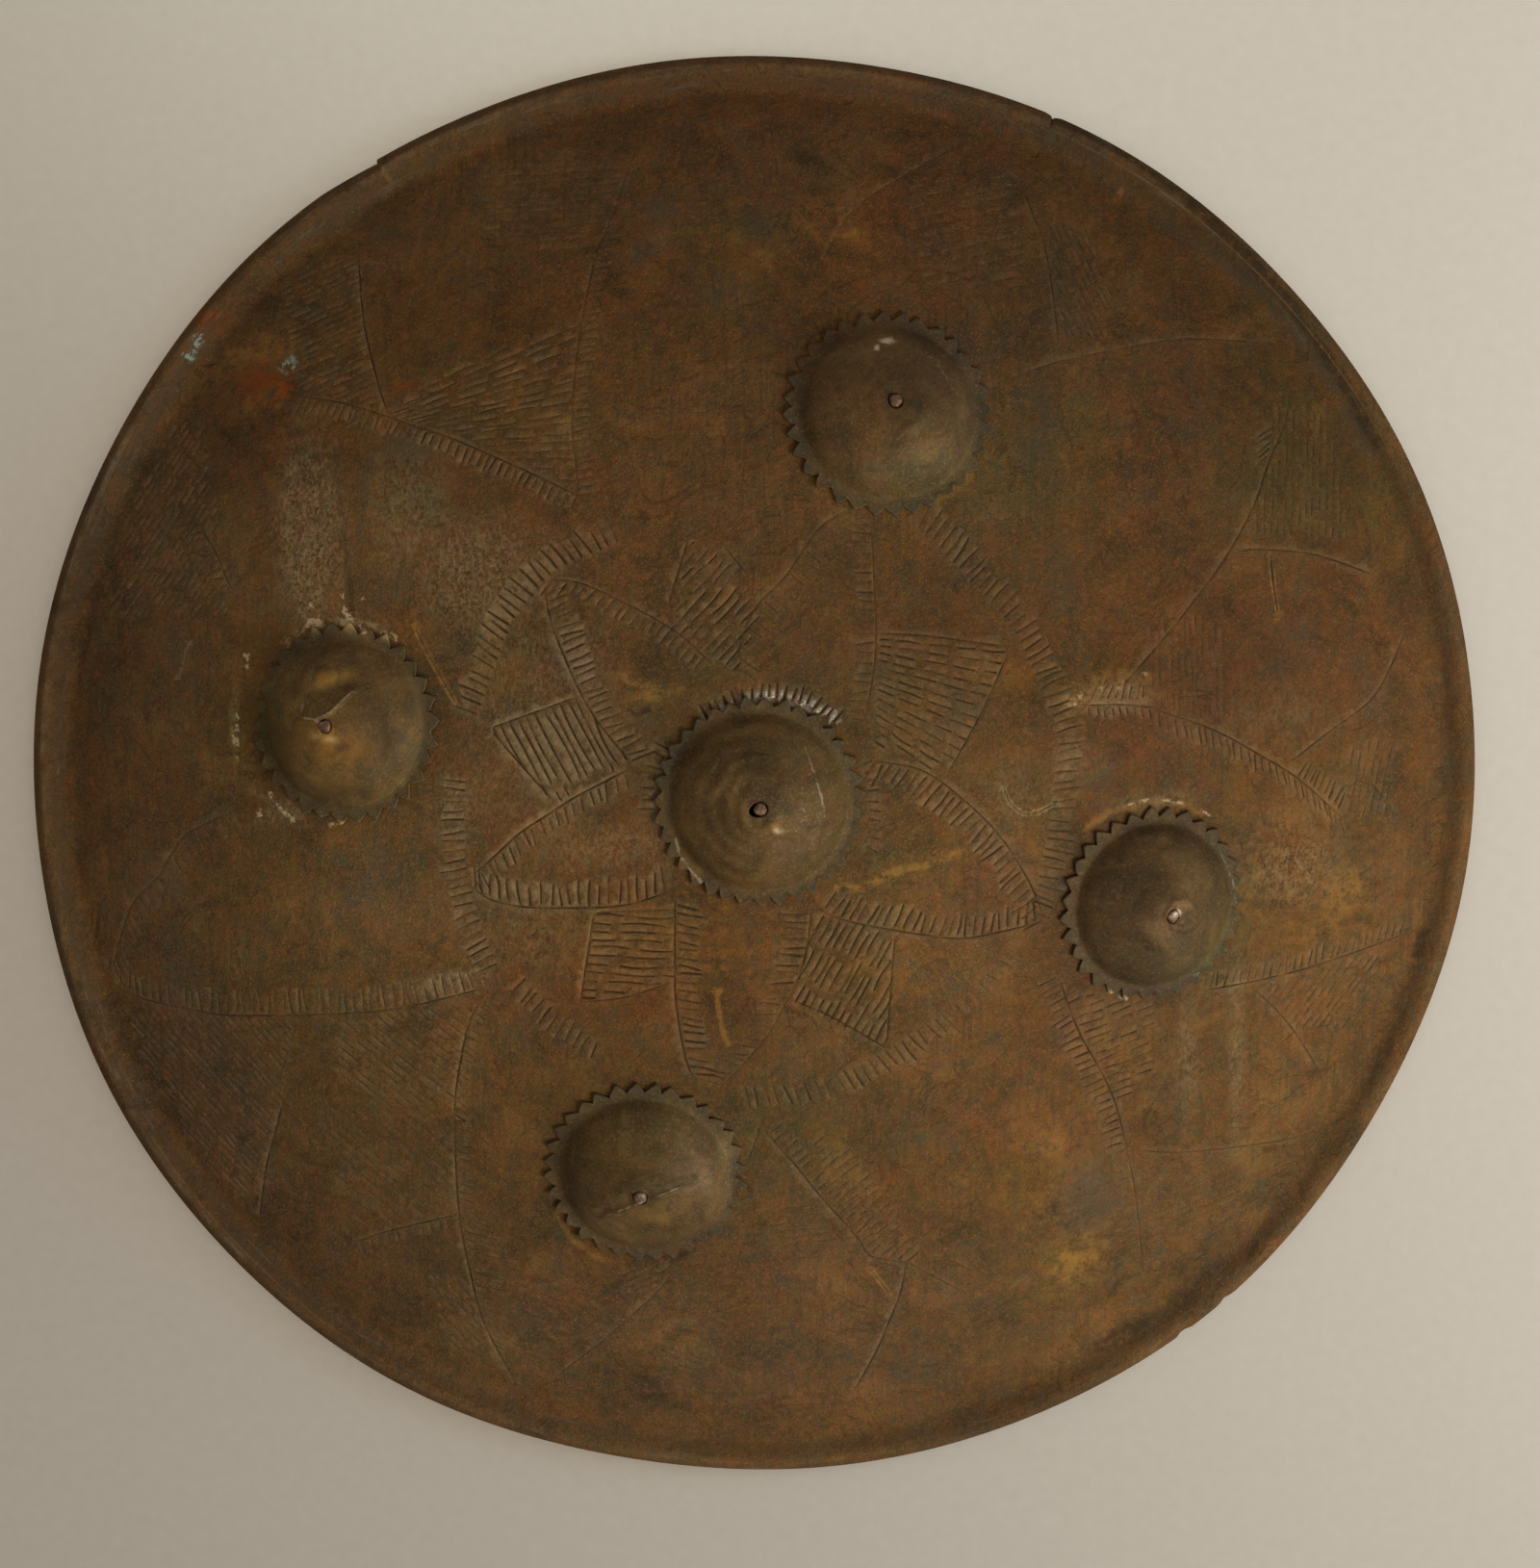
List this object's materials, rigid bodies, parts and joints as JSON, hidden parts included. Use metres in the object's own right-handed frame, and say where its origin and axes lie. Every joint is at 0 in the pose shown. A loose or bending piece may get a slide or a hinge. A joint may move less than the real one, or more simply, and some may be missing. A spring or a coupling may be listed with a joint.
{
  "type": "dhal shield",
  "caption": "Round dished shield of rusted sheet iron with toothed brass bosses riveted on and a rolled rim.",
  "frame": {"origin": "middle of the bounding box, in the plane that the rim rests on", "axes": "+Z out of the shield's face along its middle boss, +Y towards the boss that is uppermost in the picture, +X towards the boss at the right"},
  "size_m": [0.4494, 0.4442, 0.0903],
  "materials": {
    "plate_iron": "old sheet iron, brown rust patina, pitted and worn",
    "boss_brass": "hammered brass, dark grey-brown tarnish",
    "rivet_iron": "rusted iron, hammered end"
  },
  "bodies": {
    "root": {"shield_body": "plate_iron", "boss_center": "boss_brass", "boss_top": "boss_brass", "boss_right": "boss_brass", "boss_bottom": "boss_brass", "boss_left": "boss_brass", "rivet_center": "rivet_iron", "rivet_top": "rivet_iron", "rivet_right": "rivet_iron", "rivet_bottom": "rivet_iron", "rivet_left": "rivet_iron"}
  },
  "joints": []
}
